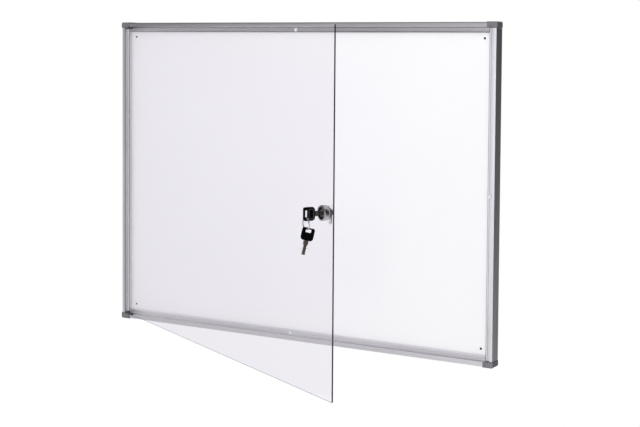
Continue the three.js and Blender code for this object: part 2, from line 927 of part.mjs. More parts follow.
// Least distance between points of the wire that lie more than half a turn apart
function ringGap() {
  const count = ringSteps * ringTurns;
  const points = Array.from({ length: count + 1 }, (_, i) => ringPoint(i / ringSteps));
  let least = Infinity;
  points.forEach((point, i) => {
    for (let j = i + ringSteps / 2; j <= count; j += 1) {
      least = Math.min(least, point.distanceTo(points[j]) - 2 * ringWire);
    }
  });
  return least;
}

function addKeys() {
  const key = new THREE.Group();
  key.position.y = -headFar;
  lock.add(key);
  addKey(key, "key");

  const slotMiddle = slotStart + slotWidth / 2;
  const headHalf = headThickness / 2;
  const inner = ringRadius - ringWire;
  const drop = Math.sqrt(inner ** 2 - headHalf ** 2);
  const ring = new THREE.Group();
  ring.position.set(0, slotMiddle, -slotLength / 2 + seat - drop);
  key.add(ring);
  piece(ring, "key_ring", keyRing(), springSteel());

  // The spare key hangs by one end of its slot from the lowest point of the ring
  const bundle = ringPitch / 2;
  const rise = ringRadius - Math.sqrt(ringRadius ** 2 - headHalf ** 2);
  const reach = ringWire + seat;
  const hang = new THREE.Group();
  hang.position.set(0, ringPitch / 4, -ringRadius);
  hang.rotation.x = -spareTilt - Math.PI / 2;
  ring.add(hang);
  const spare = new THREE.Group();
  spare.position.y = -(slotStart + reach + bundle * Math.sin(spareTilt) + rise);
  spare.position.z = slotLength / 2 - reach - bundle * Math.cos(spareTilt);
  hang.add(spare);
  addKey(spare, "spare_key");
}

addRails();
addCorners();
addPanel();
addBuffers();
addDoor();
addLock();
addKeys();
console.log(`least gap between the turns of the key ring: ${ringGap().toFixed(2)} mm`);

export default board;
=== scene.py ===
"""Looks of a lockable notice board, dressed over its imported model.

Sizes in the classes are in millimetres and become metres when a mesh is made. x runs to the
right, y into the wall and z up, with the origin in the middle of the board's back. A "level" is
a height above the wall, and "out" is a distance from the door sheet's middle; both run to -y.
"""

from __future__ import annotations

import logging
import math
from dataclasses import dataclass, field
from enum import Enum
from typing import Any, Iterable, Sequence

import bmesh
import bpy
import numpy as np
from mathutils import Matrix, Vector
from mathutils.geometry import tessellate_polygon


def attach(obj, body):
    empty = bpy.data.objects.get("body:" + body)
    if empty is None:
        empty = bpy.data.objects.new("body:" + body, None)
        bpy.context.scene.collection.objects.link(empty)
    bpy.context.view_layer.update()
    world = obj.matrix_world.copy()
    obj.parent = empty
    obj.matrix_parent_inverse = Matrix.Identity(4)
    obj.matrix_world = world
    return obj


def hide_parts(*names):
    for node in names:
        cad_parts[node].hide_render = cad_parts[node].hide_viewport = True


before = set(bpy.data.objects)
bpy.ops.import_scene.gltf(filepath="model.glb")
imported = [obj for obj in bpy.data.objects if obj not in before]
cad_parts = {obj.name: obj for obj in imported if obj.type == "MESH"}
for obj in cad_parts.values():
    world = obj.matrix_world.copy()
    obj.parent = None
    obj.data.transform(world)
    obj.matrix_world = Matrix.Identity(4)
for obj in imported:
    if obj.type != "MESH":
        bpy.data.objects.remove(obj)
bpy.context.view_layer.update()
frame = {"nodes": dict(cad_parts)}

MM = 0.001  # metres in a millimetre
WELD = 1e-6  # metres within which two points are one
SHARP = math.radians(32.0)  # an edge that turns by more than this stays sharp
FINE = 0.00002  # metres of height in a fine grain
SLACK = 0.05  # millimetres by which a wall's middle may miss its line
Array = np.ndarray
Piece = bpy.types.Object
Pair = tuple[float, float]
Triple = tuple[float, float, float]
Colour = Triple
Corner = Triple  # two coordinates and a radius
log = logging.getLogger("notice_board")


class Grain(Enum):
    """The way in which an extruded rail's fine lines run."""

    ACROSS = "x"
    UPRIGHT = "z"


class Body(Enum):
    """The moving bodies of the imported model."""

    CASE = "case"
    DOOR = "door"
    PLUG = "plug"
    KEY = "key"
    RING = "ring"
    SPARE = "spare_key"


# Shader graphs


class Value:
    """A number that varies over a surface: one output of a shader node."""

    def __init__(self, graph: Graph, socket: bpy.types.NodeSocket) -> None:
        """Keeps the graph and the node's output."""
        self.graph = graph
        self.socket = socket

    def maths(self, operation: str, *others: Any) -> Value:
        """Adds a Math node.

        Args:
            operation: The Math node's operation.
            others: Its second and third inputs, numbers or values.

        Returns:
            The node's output.
        """
        sockets = {0: self, **dict(enumerate(others, 1))}
        return self.graph.add("ShaderNodeMath", {"operation": operation}, sockets)

    def __add__(self, other: Any) -> Value:
        """self + other."""
        return self.maths("ADD", other)

    def __sub__(self, other: Any) -> Value:
        """self - other."""
        return self.maths("SUBTRACT", other)

    def __rsub__(self, other: float) -> Value:
        """other - self."""
        return self.maths("MULTIPLY_ADD", -1.0, other)

    def __mul__(self, other: Any) -> Value:
        """self * other."""
        return self.maths("MULTIPLY", other)

    def __pow__(self, other: Any) -> Value:
        """self to the power of other."""
        return self.maths("POWER", other)

    def ramp(self, low: float, high: float) -> Value:
        """0 below low, 1 above high and a straight line between them."""
        sockets = {"Value": self, "From Min": low, "From Max": high}
        return self.graph.add("ShaderNodeMapRange", {"clamp": True}, sockets)

    __radd__ = __add__
    __rmul__ = __mul__


class Graph:
    """The node tree of one material or of the world."""

    def __init__(self, tree: bpy.types.NodeTree) -> None:
        """Empties the tree."""
        self.tree = tree
        tree.nodes.clear()

    def put(self, kind: str, settings: dict[str, Any], sockets: dict[Any, Any]) -> bpy.types.Node:
        """Adds a node.

        Args:
            kind: The node's type.
            settings: Its own properties, which are set first.
            sockets: Input name or number to a value, a socket or a number.

        Returns:
            The node.
        """
        node = self.tree.nodes.new(kind)
        for key, value in settings.items():
            setattr(node, key, value)
        for key, value in sockets.items():
            source = value.socket if isinstance(value, Value) else value
            if isinstance(source, bpy.types.NodeSocket):
                self.tree.links.new(source, node.inputs[key])
            else:
                node.inputs[key].default_value = source
        return node

    def add(self, kind: str, settings: dict[str, Any], sockets: dict[Any, Any], output: Any = 0) -> Value:
        """Adds a node and returns one of its outputs as a value."""
        return Value(self, self.put(kind, settings, sockets).outputs[output])

    def place(self, scale: float | Colour = 1.0) -> Value:
        """The point on the surface in the object's own metres, times scale."""
        point = self.add("ShaderNodeTexCoord", {}, {}, "Object")
        return self.add("ShaderNodeMapping", {}, {"Vector": point, "Scale": tuple(np.broadcast_to(scale, 3))})

    def noise(self, scale: float | Colour, detail: float = 2.0, roughness: float = 0.5) -> Value:
        """Smooth noise from 0 to 1 whose features are about 1 / scale metres, along each axis."""
        sockets = {"Vector": self.place(scale), "Scale": 1.0, "Detail": detail, "Roughness": roughness}
        return self.add("ShaderNodeTexNoise", {}, sockets)

    def cells(self, scale: float) -> Value:
        """One random number for each cell of about 1 / scale metres."""
        colour = self.add("ShaderNodeTexVoronoi", {}, {"Vector": self.place(), "Scale": scale}, "Color")
        return self.add("ShaderNodeSeparateColor", {}, {0: colour})

    def ray(self, kind: str) -> Value:
        """Light Path's output of this name, such as 1 for a camera ray and 0 for the rest."""
        return self.add("ShaderNodeLightPath", {}, {}, kind)

    def blend(self, share: Any, low: Colour, high: Colour) -> Value:
        """The colour low where share is 0 and high where it is 1."""
        sockets = {0: share, 6: (*low, 1.0), 7: (*high, 1.0)}
        return self.add("ShaderNodeMix", {"data_type": "RGBA"}, sockets, 2)

    def bump(self, height: Value, depth: float, strength: float) -> Value:
        """The normal of a surface raised by height times depth metres."""
        return self.add("ShaderNodeBump", {}, {"Height": height, "Distance": depth, "Strength": strength})


Patterns = tuple[Value, Value, Value]


@dataclass(frozen=True)
class Finish:
    """A named shader, of which one material is made."""

    name: str

    def surface(self, graph: Graph) -> Value:
        """The shader's output."""
        raise NotImplementedError(self.name)

    def material(self) -> bpy.types.Material:
        """Makes the finish's material at its first use.

        Returns:
            The material.
        """
        name = f"{self.name}_finish"
        if name in bpy.data.materials:
            return bpy.data.materials[name]
        material = bpy.data.materials.new(name)
        material.use_nodes = True
        graph = Graph(material.node_tree)
        graph.put("ShaderNodeOutputMaterial", {}, {"Surface": self.surface(graph)})
        return material


@dataclass(frozen=True)
class Coat(Finish):
    """An opaque finish: a tint from pale to deep, a roughness, and a relief depth metres high."""

    pale: Colour
    deep: Colour
    roughness: float = 0.3
    depth: float = field(default=FINE, kw_only=True)
    strength: float = field(default=0.3, kw_only=True)

    def fixed(self) -> dict[str, Any]:
        """The shader's inputs that are the same all over the surface."""
        return {}

    def patterns(self, graph: Graph) -> Patterns:
        """The share of the deep tint, the roughness and the relief at each point."""
        raise NotImplementedError(self.name)

    def surface(self, graph: Graph) -> Value:
        """Builds a Principled shader from the patterns.

        Args:
            graph: The material's nodes.

        Returns:
            The shader's output.
        """
        tint, roughness, relief = self.patterns(graph)
        sockets = {
            "Base Color": graph.blend(tint, self.pale, self.deep),
            "Roughness": roughness,
            "Normal": graph.bump(relief, self.depth, self.strength),
        }
        return graph.add("ShaderNodeBsdfPrincipled", {}, self.fixed() | sockets)


@dataclass(frozen=True, kw_only=True)
class Anodised(Coat):
    """Satin anodised aluminium with the fine lines of its extrusion."""

    pale: Colour = (0.8, 0.785, 0.82)
    deep: Colour = (0.7, 0.685, 0.72)
    roughness: float = 0.24
    strength: float = 0.25
    grain: Grain = Grain.UPRIGHT
    metallic: float = 1.0
    lines: Pair = (1600.0, 5.0)
    clouds: Pair = (60.0, 3.0)

    def along(self, fine: float, slow: float) -> Colour:
        """A noise scale that is fine across the rail and slow along it."""
        return (slow, fine, fine) if self.grain is Grain.ACROSS else (fine, fine, slow)

    def fixed(self) -> dict[str, Any]:
        """Metal whose gloss spreads across its lines."""
        turn = 0.25 if self.grain is Grain.ACROSS else 0.0
        return {"Metallic": self.metallic, "Anisotropic": 0.75, "Anisotropic Rotation": turn}

    def patterns(self, graph: Graph) -> Patterns:
        """Fine lines in roughness and height, and a slow drift of tint along the rail."""
        lines = graph.noise(self.along(*self.lines), 3.0, 0.6)
        return graph.noise(self.along(*self.clouds)).ramp(0.3, 0.7), self.roughness + 0.12 * lines, lines


@dataclass(frozen=True, kw_only=True)
class Moulded(Coat):
    """Moulded plastic or rubber with a fine grain and faint handling marks."""

    strength: float = 0.4
    grain: float = 2600.0
    level: float = 0.5
    clouds: float = 45.0
    rubbed: Colour = (160.0, 900.0, 320.0)

    def fixed(self) -> dict[str, Any]:
        """The gloss of the plastic."""
        return {"Specular IOR Level": self.level}

    def patterns(self, graph: Graph) -> Patterns:
        """Cloudy tint, patchy gloss and a moulded grain.

        Args:
            graph: The material's nodes.

        Returns:
            The share of the deep tint, the roughness and the relief.
        """
        cloud, grain = graph.noise(self.clouds, 3.0), graph.noise(self.grain, 2.0, 0.6)
        marks = 0.1 * graph.noise(self.rubbed).ramp(0.45, 0.7)
        return cloud.ramp(0.3, 0.7), self.roughness + marks + 0.05 * grain, grain


@dataclass(frozen=True, kw_only=True)
class Lacquer(Coat):
    """Baked lacquer on steel, with faint orange peel and wipe marks."""

    strength: float = 0.1
    clouds: float = 4.0
    wipes: Colour = (9.0, 9.0, 40.0)
    peel: float = 420.0

    def fixed(self) -> dict[str, Any]:
        """A thin clear coat."""
        return {"Coat Roughness": 0.12, "Coat Weight": 0.25}

    def patterns(self, graph: Graph) -> Patterns:
        """Cloudy tint, wiped streaks in the gloss and a soft ripple."""
        cloud, wiped = graph.noise(self.clouds, 3.0), graph.noise(self.wipes, 4.0, 0.6).ramp(0.3, 0.8)
        return cloud.ramp(0.35, 0.65), self.roughness + 0.06 * wiped, graph.noise(self.peel, 1.0)


@dataclass(frozen=True, kw_only=True)
class Metal(Coat):
    """Plated, turned or drawn metal with fine scratches and uneven gloss."""

    depth: float = FINE / 2
    scratch: Colour = (500.0, 2600.0, 500.0)
    clouds: float = 130.0

    def fixed(self) -> dict[str, Any]:
        """Bare metal."""
        return {"Metallic": 1.0}

    def patterns(self, graph: Graph) -> Patterns:
        """Patchy tint, uneven gloss and scratches."""
        cloud, scratch = graph.noise(self.clouds, 3.0), graph.noise(self.scratch, 2.0, 0.6)
        return cloud.ramp(0.35, 0.7), self.roughness + 0.12 * (scratch - 0.5) + 0.06 * cloud, scratch


@dataclass(frozen=True, kw_only=True)
class Galvanised(Coat):
    """Zinc-coated sheet with flat crystals of different greys."""

    strength: float = 0.2
    crystals: float = 110.0
    dull: float = 28.0
    grain: float = 1500.0

    def fixed(self) -> dict[str, Any]:
        """Mostly bare metal."""
        return {"Metallic": 0.85}

    def patterns(self, graph: Graph) -> Patterns:
        """A grey and a gloss for each crystal, under a fine dull bloom."""
        cell, bloom = graph.cells(self.crystals), graph.noise(self.dull, 4.0, 0.6)
        return 0.7 * cell + 0.3 * bloom, self.roughness + 0.22 * cell + 0.1 * bloom, graph.noise(self.grain)


@dataclass(frozen=True, kw_only=True)
class FibreBoard(Coat):
    """Pressed fibre board, seen in the screw holes and at its edges."""

    depth: float = 0.0003
    strength: float = 0.6
    fibres: Colour = (900.0, 300.0, 420.0)

    def fixed(self) -> dict[str, Any]:
        """Hardly any gloss."""
        return {"Specular IOR Level": 0.1}

    def patterns(self, graph: Graph) -> Patterns:
        """Short fibres in tint and height."""
        fibres = graph.noise(self.fibres, 5.0, 0.7)
        return 1 - fibres.ramp(0.3, 0.7), self.roughness + 0.1 * fibres, fibres


@dataclass(frozen=True, kw_only=True)
class SheetEdge(Coat):
    """Sawn and polished edge of the clear sheet, whose opaque tint is painted shade: the dark look of the
    sheet's depth seen through its edge.
    """

    bands: float = 5.0
    saw: Colour = (150.0, 150.0, 1700.0)

    def fixed(self) -> dict[str, Any]:
        """Polished."""
        return {"Specular IOR Level": 0.25, "Coat Weight": 0.15, "Coat Roughness": 0.08}

    def patterns(self, graph: Graph) -> Patterns:
        """Bands of tint along the edge and fine saw marks across it."""
        bands, sawn = graph.noise(self.bands, 3.0, 0.6), graph.noise(self.saw)
        return 1 - bands.ramp(0.3, 0.7), self.roughness + 0.14 * sawn, sawn


@dataclass(frozen=True)
class ClearSheet(Finish):
    """Clear acrylic sheet that lets lamps light what is behind it."""

    tint: Colour = (0.99, 0.983, 1.0)
    index: float = 1.49
    smear: float = 7.0

    def surface(self, graph: Graph) -> Value:
        """Builds glass to the eye that is clear to the rays that carry light from the lamps.

        Args:
            graph: The material's nodes.

        Returns:
            The shader's output.
        """
        sockets = {
            "Base Color": (*self.tint, 1.0),
            "Roughness": 0.03 * graph.noise(self.smear, 4.0, 0.6).ramp(0.45, 0.8),
            "IOR": self.index,
            "Transmission Weight": 1.0,
        }
        glass = graph.add("ShaderNodeBsdfPrincipled", {}, sockets)
        clear = graph.add("ShaderNodeBsdfTransparent", {}, {"Color": (*self.tint, 1.0)})
        lit = graph.ray("Is Shadow Ray").maths("MAXIMUM", graph.ray("Is Diffuse Ray"))
        return graph.add("ShaderNodeMixShader", {}, {0: lit, 1: glass, 2: clear})


TURNED = (300.0, 3000.0, 300.0)  # the scratches of a turned face
RAIL_UPRIGHT = Anodised("anodised_upright")
RAIL_ACROSS = Anodised("anodised_across", grain=Grain.ACROSS)
# Painted light: a paler, almost non-metal copy of the anodised finish on the lower inner wall of the side
# rails' lips.
RAIL_PAINTED_LIGHT = Anodised("anodised_painted_light", pale=(0.95, 0.93, 0.96), deep=(0.88, 0.86, 0.9), metallic=0.1)
CAP_PLASTIC = Moulded("cap_plastic", (0.19, 0.185, 0.2), (0.15, 0.145, 0.16), 0.42)
WHITE_LACQUER = Lacquer("white_lacquer", (0.935, 0.932, 0.948), (0.925, 0.922, 0.938))
# Painted shade: the core's tint is darkened almost to black for the shade down the screw holes.
CORE_SHADED = FibreBoard("board_core", (0.03, 0.02, 0.012), (0.01, 0.006, 0.004), 0.85)
ZINC_SHEET = Galvanised("zinc_sheet", (0.66, 0.67, 0.69), (0.5, 0.51, 0.53), 0.36)
CLEAR = ClearSheet("clear_acrylic")
# Painted shade on the sheet's edges: a deeper tint on the upright edges and a paler one on the level edges.
EDGE_SHADE_DARK = SheetEdge("acrylic_edge_painted_dark", (0.085, 0.04, 0.1), (0.04, 0.015, 0.05), 0.16)
EDGE_SHADE_PALE = SheetEdge("acrylic_edge_painted_pale", (0.16, 0.13, 0.2), (0.09, 0.07, 0.12), 0.16)
WHITE_RUBBER = Moulded("white_rubber", (0.84, 0.84, 0.86), (0.76, 0.76, 0.78), 0.55, grain=1500.0)
# Painted shade: a near-black finish for the shade in the top rail's groove at the lip's foot, along its
# ledge's edge and along the top of the side rails' lip walls.
DARK_PAINTED_SHADE = Moulded("dark_painted_shade", (0.09, 0.088, 0.095), (0.06, 0.058, 0.064), 0.6)
SHOE_PLASTIC = Moulded("shoe_plastic", (0.06, 0.055, 0.065), (0.04, 0.037, 0.044), 0.4)
COARSE = {"grain": 1800.0, "depth": 2 * FINE}  # the grain of the keys' heads
BLACK_PLASTIC = Moulded(
    "key_plastic", (0.003, 0.003, 0.004), (0.002, 0.002, 0.0025), 0.4, level=0.05, **COARSE
)
# Painted highlight: a grey frame for the highlights on the raised frame of the key in the lock.
FRAME_HIGHLIGHT = Moulded("key_frame_painted_highlight", (0.08, 0.077, 0.088), (0.05, 0.048, 0.056), 0.34, **COARSE)
BLACK_RUBBER = Moulded("gasket_rubber", (0.02, 0.02, 0.022), (0.014, 0.014, 0.015), 0.7)
CHROME = Metal("satin_chrome", (0.55, 0.54, 0.56), (0.42, 0.41, 0.43), 0.27, scratch=TURNED)
# Painted shade: darker copies of the chrome for the shade inside the lock's recess, on its walls and on the
# plug.
RECESS_CHROME_SHADED = Metal("recess_chrome_shaded", (0.2, 0.195, 0.21), (0.1, 0.1, 0.105), 0.3, scratch=TURNED)
PLUG_CHROME_SHADED = Metal("plug_chrome_shaded", (0.34, 0.33, 0.35), (0.22, 0.21, 0.23), 0.24, scratch=TURNED)
ZINC = Metal("zinc_plate", (0.72, 0.71, 0.73), (0.6, 0.6, 0.61), 0.34, scratch=(900.0,) * 3)
NICKEL = Metal("dark_nickel", (0.6, 0.51, 0.46), (0.36, 0.3, 0.27), 0.3, scratch=(700.0, 700.0, 2400.0))
SPRING_STEEL = Metal("spring_steel", (0.9, 0.88, 0.87), (0.74, 0.71, 0.71), 0.3, scratch=(1200.0,) * 3)
WAFER_BRASS = Metal("wafer_brass", (0.72, 0.56, 0.28), (0.58, 0.44, 0.2), 0.34)


# Surfaces


@dataclass
class Shell:
    """Points in millimetres and the faces between them, with a finish number for each face."""

    points: Array
    faces: list[Array]
    marks: list[int]

    def __add__(self, other: Shell) -> Shell:
        """Both shells together."""
        faces = self.faces + [group + len(self.points) for group in other.faces]
        return Shell(np.concatenate([self.points, other.points]), faces, self.marks + other.marks)

    def placed(self, place: Array) -> Shell:
        """The shell with its points carried by a 4 by 4 matrix."""
        points = self.points @ place[:3, :3].T + place[:3, 3]
        return Shell(points, self.faces, self.marks)


def axes(origin: Triple, first: Triple, second: Triple, third: Triple) -> Array:
    """A 4 by 4 matrix that carries the three axes to these directions and zero to origin."""
    return np.vstack([np.column_stack([first, second, third, origin]), [0.0, 0.0, 0.0, 1.0]])


def shifted(x: float, y: float, z: float) -> Array:
    """A 4 by 4 matrix of a shift."""
    return axes((x, y, z), (1, 0, 0), (0, 1, 0), (0, 0, 1))


def about_z(angle: float) -> Array:
    """A 4 by 4 matrix of a turn about z, in radians."""
    c, s = math.cos(angle), math.sin(angle)
    return axes((0, 0, 0), (c, s, 0), (-s, c, 0), (0, 0, 1))


def about_x(angle: float) -> Array:
    """A 4 by 4 matrix of a turn about x, in radians."""
    c, s = math.cos(angle), math.sin(angle)
    return axes((0, 0, 0), (1, 0, 0), (0, c, s), (0, -s, c))


FRONT = axes((0, 0, 0), (1, 0, 0), (0, 0, 1), (0, -1, 0))  # (x, z, level) to (x, y, z)


def softened(corners: Iterable[Corner], steps: int) -> Array:
    """A closed outline with rounded corners.

    From a point its radius before each corner to one as far after it, the line is the quadratic
    curve that the corner pulls: (1 - t)^2 start + 2 t (1 - t) corner + t^2 end.

    Args:
        corners: x, y and radius of each corner.
        steps: Pieces in each curve.

    Returns:
        The outline's points.
    """
    table = np.asarray(list(corners), float)
    corner, radius = table[:, :2], table[:, 2:]
    arms = []
    for step in (1, -1):
        arm = np.roll(corner, step, axis=0) - corner
        arms.append(corner + arm / np.linalg.norm(arm, axis=1, keepdims=True) * radius)
    t = np.linspace(0, 1, steps + 1)[None, :, None]
    curve = (1 - t) ** 2 * arms[0][:, None] + 2 * t * (1 - t) * corner[:, None] + t**2 * arms[1][:, None]
    loop = curve.reshape(-1, 2)
    return loop[np.linalg.norm(loop - np.roll(loop, 1, axis=0), axis=1) > 1e-4]


def circle(radius: float, sides: int, centre: Pair) -> Array:
    """A circle's points: centre + radius (cos a, sin a) for even steps of a."""
    angle = np.linspace(0, 2 * np.pi, sides, endpoint=False)
    return np.asarray(centre) + radius * np.column_stack([np.cos(angle), np.sin(angle)])


def box_loop(low: Pair, high: Pair, radius: float, steps: int = 5) -> Array:
    """A rectangle's outline with round corners."""
    (x0, y0), (x1, y1) = low, high
    return softened([(x0, y0, radius), (x1, y0, radius), (x1, y1, radius), (x0, y1, radius)], steps)


def inset(loop: Array, distance: float) -> Array:
    """Moves an outline to its left, along the mean of each point's two edge normals, mitred.

    Args:
        loop: The outline's points.
        distance: How far each edge moves.

    Returns:
        The new outline's points.
    """
    ahead = np.roll(loop, -1, axis=0) - loop
    ahead = ahead / np.linalg.norm(ahead, axis=1, keepdims=True)
    normal = np.column_stack([-ahead[:, 1], ahead[:, 0]])
    middle = normal + np.roll(normal, 1, axis=0)
    middle = middle / np.linalg.norm(middle, axis=1, keepdims=True)
    reach = distance / np.clip((middle * normal).sum(axis=1, keepdims=True), 0.4, 1.0)
    return loop + middle * reach


def lofted(rings: Array, closed: bool = False, mark: int = 0) -> Shell:
    """The four-sided faces between rings of points.

    Point (i, j) is joined to (i, j + 1), (i + 1, j + 1) and (i + 1, j), with j running round.

    Args:
        rings: Array of rings by points by three.
        closed: Whether the last ring joins the first.
        mark: The faces' finish number.

    Returns:
        The surface.
    """
    rows, columns = rings.shape[:2]
    row = np.arange(rows if closed else rows - 1)[:, None]
    column = np.arange(columns)[None, :]
    after, beyond = (row + 1) % rows, (column + 1) % columns
    here, there = row * columns, after * columns
    quads = [here + column, here + beyond, there + beyond, there + column]
    return Shell(rings.reshape(-1, 3), [np.stack(quads, -1).reshape(-1, 4)], [mark])


def plate(
    loops: Sequence[Array], low: float, high: float, edge: float, steps: int, side: int = 0
) -> Shell:
    """A plate with holes and rounded edges.

    Each outline is carried up through a quarter circle, a straight wall and a quarter circle:
    moved in by edge (1 - sin a) at the height edge (1 - cos a) from either face.

    Args:
        loops: The outer outline anticlockwise, and any holes clockwise.
        low: The lower face.
        high: The upper face.
        edge: The radius of the edges.
        steps: Pieces in each quarter circle.
        side: The finish number of the walls.

    Returns:
        The closed surface.
    """
    turn = np.linspace(0, np.pi / 2, steps + 1)
    depth = edge * (1 - np.sin(turn))
    rise = edge * (1 - np.cos(turn))
    heights = np.concatenate([low + rise, (high - rise)[::-1]])
    depths = np.concatenate([depth, depth[::-1]])
    shell = Shell(np.zeros((0, 3)), [], [])
    for loop in loops:
        rings = [np.column_stack([inset(loop, d), np.full(len(loop), h)]) for d, h in zip(depths, heights)]
        shell += lofted(np.stack(rings), mark=side)
    flat = [inset(loop, edge) for loop in loops]
    outlines = [np.column_stack([loop, np.zeros(len(loop))]).tolist() for loop in flat]
    triangles = np.asarray(tessellate_polygon(outlines))
    for height in (low, high):
        points = np.concatenate([np.column_stack([loop, np.full(len(loop), height)]) for loop in flat])
        shell += Shell(points, [triangles], [0])
    return shell


def turned(corners: Iterable[Corner], sides: int) -> Shell:
    """A body turned about y: the point (radius cos a, -out, radius sin a) for each profile point.

    Args:
        corners: Radius, out and rounding of the profile's corners.
        sides: Steps round the axis.

    Returns:
        The closed surface.
    """
    radius, out = softened(corners, 4).T
    angle = np.linspace(0, 2 * np.pi, sides, endpoint=False)[None, :]
    parts = [radius[:, None] * np.cos(angle), -out[:, None] + 0 * angle, radius[:, None] * np.sin(angle)]
    return lofted(np.stack(parts, -1), closed=True)


def linked(name: str, data: bpy.types.ID) -> Piece:
    """Puts a new object with this data in the scene.

    Args:
        name: The object's name.
        data: Its mesh, lamp or camera.

    Returns:
        The object.
    """
    made = bpy.data.objects.new(name, data)
    bpy.context.scene.collection.objects.link(made)
    return made


def finished(name: str, shell: Shell, *finishes: Finish) -> Piece:
    """Makes an object of a shell, with doubles merged, faces turned out and soft shading.

    Args:
        name: The object's name.
        shell: Its surface in millimetres.
        finishes: Its finishes, in the order of the shell's finish numbers.

    Returns:
        The object.
    """
    mesh = bpy.data.meshes.new(name)
    faces = [face for group in shell.faces for face in group.tolist()]
    mesh.from_pydata((shell.points * MM).tolist(), [], faces)
    marks = np.concatenate([np.full(len(group), mark) for group, mark in zip(shell.faces, shell.marks)])
    mesh.polygons.foreach_set("material_index", marks.astype(np.int32))
    for finish in finishes:
        mesh.materials.append(finish.material())
    cleaned(mesh)
    return linked(name, mesh)


def cleaned(mesh: bpy.types.Mesh, flat: bool = False) -> None:
    """Merges a mesh's doubles, turns its faces out and shades it.

    Args:
        mesh: The mesh.
        flat: Whether faces in one plane are joined.
    """
    work = bmesh.new()
    work.from_mesh(mesh)
    bmesh.ops.remove_doubles(work, verts=work.verts, dist=WELD)
    bmesh.ops.dissolve_degenerate(work, edges=work.edges, dist=WELD / 10)
    if flat:
        bmesh.ops.dissolve_limit(work, angle_limit=math.radians(0.5), verts=work.verts, edges=work.edges)
    bmesh.ops.recalc_face_normals(work, faces=work.faces)
    work.to_mesh(mesh)
    work.free()
    mesh.shade_smooth()
    mesh.set_sharp_from_angle(angle=SHARP)


def applied(piece: Piece) -> None:
    """Applies all of a piece's modifiers to its mesh.

    Args:
        piece: The piece.
    """
    graph = bpy.context.evaluated_depsgraph_get()
    mesh = bpy.data.meshes.new_from_object(piece.evaluated_get(graph))
    piece.modifiers.clear()
    piece.data = mesh


def combined(base: Piece, tool: Piece, how: str) -> None:
    """Cuts or joins tool with base for good, and removes tool.

    Args:
        base: The object that keeps the result.
        tool: The other object.
        how: DIFFERENCE or UNION.
    """
    modifier = base.modifiers.new("combine", "BOOLEAN")
    modifier.operation, modifier.solver, modifier.object = how, "EXACT", tool
    modifier.material_mode = "TRANSFER"
    applied(base)
    bpy.data.objects.remove(tool)
    base.data.set_sharp_from_angle(angle=SHARP)


def fitted(piece: Piece, body: Body, node: str) -> None:
    """Weighs a piece's normals by area, so flats stay flat, and sets it in place of a CAD node.

    Args:
        piece: The piece.
        body: The body that carries it.
        node: The CAD node that it stands for.
    """
    weigh = piece.modifiers.new("flat_faces", "WEIGHTED_NORMAL")
    weigh.keep_sharp = True
    applied(piece)
    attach(piece, body.value)
    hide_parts(node)
    log.info("%s rides on %s", piece.name, body.value)


def refined(
    node: str, name: str, body: Body, finish: Finish, width: float, segments: int = 2
) -> None:
    """Replaces a CAD node by a copy with its facets joined, its shading soft and its edges rounded.

    Args:
        node: The CAD node.
        name: The new piece's name.
        body: The body that carries it.
        finish: Its finish.
        width: The rounding of its edges in millimetres.
        segments: Steps in that rounding.
    """
    mesh = frame["nodes"][node].data.copy()
    mesh.name = name
    mesh.materials.clear()
    mesh.materials.append(finish.material())
    mesh.polygons.foreach_set("material_index", np.zeros(len(mesh.polygons), np.int32))
    cleaned(mesh, flat=True)
    piece = linked(name, mesh)
    bevel = piece.modifiers.new("soft_edges", "BEVEL")
    bevel.width, bevel.segments = width * MM, segments
    bevel.limit_method, bevel.angle_limit = "ANGLE", SHARP
    bevel.harden_normals = False
    bevel.use_clamp_overlap = True
    fitted(piece, body, node)


def kept(node: str, finish: Finish) -> None:
    """Dresses a CAD node whose own shape stays.

    Args:
        node: The CAD node.
        finish: Its finish.
    """
    for slot in frame["nodes"][node].material_slots:
        slot.material = finish.material()
    log.info("%s is kept", node)


# Sub-assemblies


@dataclass(frozen=True)
class Profile:
    """The front of a rail: its lip, the groove at the lip's foot, and the tilts of what lies inside.

    A rise is how far one end of the strip or the ledge stands over its middle.
    """

    lip: float
    groove_depth: float
    groove_width: float
    strip_rise: float
    ledge_rise: float
    ledge_round: float


